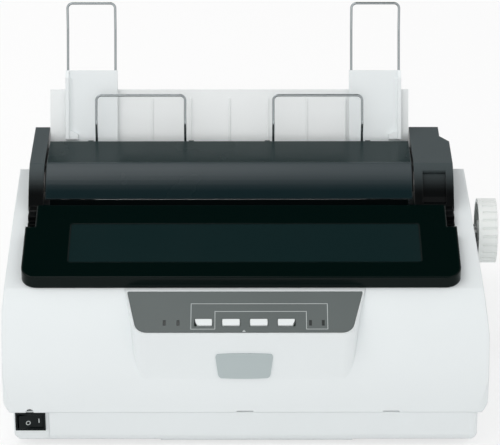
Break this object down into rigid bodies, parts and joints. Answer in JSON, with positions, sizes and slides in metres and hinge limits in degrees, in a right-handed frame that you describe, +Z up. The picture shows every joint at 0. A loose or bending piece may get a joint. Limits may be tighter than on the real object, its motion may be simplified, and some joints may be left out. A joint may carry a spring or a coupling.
{
  "type": "dot matrix printer",
  "caption": "Desktop dot matrix printer with a smoked hinged front cover, a tilting paper separator with wire supports, a platen with a hand knob and a push tractor.",
  "frame": {"origin": "middle of the whole printer on the table, under the rubber feet", "axes": "+X to the right of a person at the control panel, +Y to the back, +Z up"},
  "size_m": [0.3684, 0.275, 0.2447],
  "materials": {
    "case_white": "fine moulded texture",
    "steel_screws": "zinc plated",
    "rubber_feet": "matt",
    "panel_grey": "satin print",
    "lamp_clear": "clear",
    "badge": "smooth",
    "black_plastic": "fine texture",
    "connector_metal": "plated",
    "board_green": "lacquered",
    "board_brown": "paper laminate",
    "zinc_sheet": "zinc coated",
    "shaft_steel": "ground",
    "pan_steel": "smooth",
    "motor_steel": "satin",
    "bush_plastic": "smooth",
    "belt_rubber": "matt",
    "cover_dark": "smoked, semi gloss",
    "window_dark": "smoked, glossy",
    "platen_rubber": "ground",
    "knob_white": "smooth",
    "brass": "machined",
    "tractor_grey": "smooth",
    "tractor_cream": "smooth",
    "head_alloy": "cast, finned",
    "lever_blue": "smooth",
    "separator_white": "fine texture",
    "guide_white": "fine texture",
    "wire_black": "dark coated wire",
    "button_white": "smooth"
  },
  "bodies": {
    "case": {"lower_case": "case_white", "upper_case": "case_white", "screws": "steel_screws", "rubber_feet": "rubber_feet", "operator_panel": "panel_grey", "indicator_lights": "lamp_clear", "badge_plate": "badge", "switch_body": "black_plastic", "power_inlet": "black_plastic", "data_connectors": "connector_metal", "main_board": "board_green", "power_board": "board_brown", "panel_board": "board_green", "chassis": "zinc_sheet", "round_shafts": "shaft_steel", "paper_pan": "pan_steel", "carriage_motor": "motor_steel", "feed_motor": "motor_steel", "platen_bushes": "bush_plastic", "ribbon_cartridge": "black_plastic", "timing_belt": "belt_rubber", "end_cover_left": "cover_dark", "end_cover_right": "cover_dark", "exit_cover": "cover_dark", "hinge_pins": "shaft_steel", "tear_bar": "shaft_steel"},
    "cover": {"front_cover": "cover_dark", "cover_window": "window_dark"},
    "platen": {"platen_roller": "platen_rubber", "platen_shaft": "shaft_steel", "platen_knob": "knob_white"},
    "idler_gear": {"feed_idler": "bush_plastic"},
    "motor_pinion": {"feed_pinion": "brass"},
    "drive_shaft": {"tractor_shaft": "shaft_steel"},
    "tractor_l": {"tractor_left": "tractor_grey"},
    "tractor_r": {"tractor_right": "tractor_grey"},
    "wheel_l": {"pin_wheel_left": "tractor_cream"},
    "wheel_r": {"pin_wheel_right": "tractor_cream"},
    "lid_l": {"tractor_door_left": "tractor_cream"},
    "lid_r": {"tractor_door_right": "tractor_cream"},
    "carriage": {"carriage": "tractor_grey", "print_head": "head_alloy"},
    "pulley_drive": {"drive_pulley": "brass"},
    "pulley_idle": {"idler_pulley": "brass"},
    "gap_lever": {"head_gap_lever": "lever_blue"},
    "release": {"release_lever": "lever_blue"},
    "pinch": {"pinch_rollers": "belt_rubber"},
    "ribbon_wheel": {"ribbon_knob": "lever_blue"},
    "separator": {"separator": "separator_white"},
    "guide_l": {"edge_guide_left": "guide_white"},
    "guide_r": {"edge_guide_right": "guide_white"},
    "tall_l": {"tall_wire_left": "wire_black"},
    "tall_r": {"tall_wire_right": "wire_black"},
    "stand_l": {"stand_wire_left": "wire_black"},
    "stand_r": {"stand_wire_right": "wire_black"},
    "key_1": {"button_1": "button_white"},
    "key_2": {"button_2": "button_white"},
    "key_3": {"button_3": "button_white"},
    "key_4": {"button_4": "button_white"},
    "rocker": {"switch_rocker": "black_plastic"}
  },
  "joints": [
    {"name": "cover_hinge", "type": "hinge", "parent": "case", "child": "cover", "pos_m": [-0.0062, -0.0065, 0.12511], "axis": [-1, 0, 0], "range_deg": [0, 100]},
    {"name": "platen_turn", "type": "hinge", "parent": "case", "child": "platen", "pos_m": [-0.0062, 0.0125, 0.1005], "axis": [1, 0, 0], "continuous": true},
    {"name": "idler_turn", "type": "hinge", "parent": "case", "child": "idler_gear", "pos_m": [-0.0062, 0.04633, 0.08819], "axis": [1, 0, 0], "continuous": true},
    {"name": "pinion_turn", "type": "hinge", "parent": "case", "child": "motor_pinion", "pos_m": [-0.0062, 0.06625, 0.08644], "axis": [1, 0, 0], "continuous": true},
    {"name": "drive_shaft_turn", "type": "hinge", "parent": "case", "child": "drive_shaft", "pos_m": [-0.0062, 0.08973, 0.08145], "axis": [1, 0, 0], "continuous": true},
    {"name": "tractor_left_slide", "type": "slide", "parent": "case", "child": "tractor_l", "axis": [1, 0, 0], "range_m": [0, 0.08]},
    {"name": "tractor_right_slide", "type": "slide", "parent": "case", "child": "tractor_r", "axis": [-1, 0, 0], "range_m": [0, 0.08]},
    {"name": "wheel_left_turn", "type": "hinge", "parent": "tractor_l", "child": "wheel_l", "pos_m": [-0.133, 0.08973, 0.08145], "axis": [1, 0, 0], "continuous": true},
    {"name": "wheel_right_turn", "type": "hinge", "parent": "tractor_r", "child": "wheel_r", "pos_m": [0.0956, 0.08973, 0.08145], "axis": [1, 0, 0], "continuous": true},
    {"name": "lid_left_hinge", "type": "hinge", "parent": "tractor_l", "child": "lid_l", "pos_m": [-0.142, 0.08973, 0.09945], "axis": [0, -1, 0], "range_deg": [0, 90]},
    {"name": "lid_right_hinge", "type": "hinge", "parent": "tractor_r", "child": "lid_r", "pos_m": [0.1046, 0.08973, 0.09945], "axis": [0, 1, 0], "range_deg": [0, 90]},
    {"name": "carriage_slide", "type": "slide", "parent": "case", "child": "carriage", "axis": [1, 0, 0], "range_m": [-0.1, 0.1]},
    {"name": "drive_pulley_turn", "type": "hinge", "parent": "case", "child": "pulley_drive", "pos_m": [-0.1337, -0.0535, 0.055], "axis": [0, 0, 1], "range_deg": [-900, 900]},
    {"name": "idler_pulley_turn", "type": "hinge", "parent": "case", "child": "pulley_idle", "pos_m": [0.0963, -0.0535, 0.055], "axis": [0, 0, 1], "range_deg": [-900, 900]},
    {"name": "gap_lever_hinge", "type": "hinge", "parent": "case", "child": "gap_lever", "pos_m": [-0.1582, -0.0335, 0.068], "axis": [1, 0, 0], "range_deg": [0, 30]},
    {"name": "release_hinge", "type": "hinge", "parent": "case", "child": "release", "pos_m": [-0.0062, -0.0095, 0.0625], "axis": [-1, 0, 0], "range_deg": [0, 12]},
    {"name": "pinch_turn", "type": "hinge", "parent": "release", "child": "pinch", "pos_m": [-0.0062, 0.00883, 0.07436], "axis": [1, 0, 0], "continuous": true},
    {"name": "ribbon_knob_turn", "type": "hinge", "parent": "case", "child": "ribbon_wheel", "pos_m": [-0.1012, -0.0645, 0.11], "axis": [0, 0, 1], "continuous": true},
    {"name": "separator_tilt", "type": "hinge", "parent": "case", "child": "separator", "pos_m": [-0.0062, 0.0765, 0.132], "axis": [-1, 0, 0], "range_deg": [0, 62]},
    {"name": "guide_left_slide", "type": "slide", "parent": "separator", "child": "guide_l", "axis": [1, 0, 0], "range_m": [0, 0.08]},
    {"name": "guide_right_slide", "type": "slide", "parent": "separator", "child": "guide_r", "axis": [-1, 0, 0], "range_m": [0, 0.08]},
    {"name": "tall_left_slide", "type": "slide", "parent": "guide_l", "child": "tall_l", "axis": [0, -0.4226, -0.9063], "range_m": [0, 0.018]},
    {"name": "tall_right_slide", "type": "slide", "parent": "guide_r", "child": "tall_r", "axis": [0, -0.4226, -0.9063], "range_m": [0, 0.018]},
    {"name": "stand_left_hinge", "type": "hinge", "parent": "case", "child": "stand_l", "pos_m": [-0.0871, 0.0723, 0.1462], "axis": [1, 0, 0], "range_deg": [0, 32]},
    {"name": "stand_right_hinge", "type": "hinge", "parent": "case", "child": "stand_r", "pos_m": [0.0497, 0.0723, 0.1462], "axis": [1, 0, 0], "range_deg": [0, 32]},
    {"name": "button_1_press", "type": "slide", "parent": "case", "child": "key_1", "axis": [0, 0.3907, -0.9205], "range_m": [0, 0.0008], "stiffness_N_per_m": 600, "springref_m": -0.0004},
    {"name": "button_2_press", "type": "slide", "parent": "case", "child": "key_2", "axis": [0, 0.3907, -0.9205], "range_m": [0, 0.0008], "stiffness_N_per_m": 600, "springref_m": -0.0004},
    {"name": "button_3_press", "type": "slide", "parent": "case", "child": "key_3", "axis": [0, 0.3907, -0.9205], "range_m": [0, 0.0008], "stiffness_N_per_m": 600, "springref_m": -0.0004},
    {"name": "button_4_press", "type": "slide", "parent": "case", "child": "key_4", "axis": [0, 0.3907, -0.9205], "range_m": [0, 0.0008], "stiffness_N_per_m": 600, "springref_m": -0.0004},
    {"name": "rocker_tilt", "type": "hinge", "parent": "case", "child": "rocker", "pos_m": [-0.1628, -0.1327, 0.0192], "axis": [0, 0, 1], "range_deg": [-16, 0]}
  ],
  "couplings": [
    {"joint": "idler_turn", "follows": "platen_turn", "ratio": -1.5714},
    {"joint": "pinion_turn", "follows": "platen_turn", "ratio": 3.6667},
    {"joint": "drive_shaft_turn", "follows": "platen_turn", "ratio": -1.2222},
    {"joint": "wheel_left_turn", "follows": "platen_turn", "ratio": -1.2222},
    {"joint": "wheel_right_turn", "follows": "platen_turn", "ratio": -1.2222},
    {"joint": "pinch_turn", "follows": "platen_turn", "ratio": -3.3333},
    {"joint": "drive_pulley_turn", "follows": "carriage_slide", "rad_per_m": 151.52},
    {"joint": "idler_pulley_turn", "follows": "carriage_slide", "rad_per_m": 151.52}
  ]
}
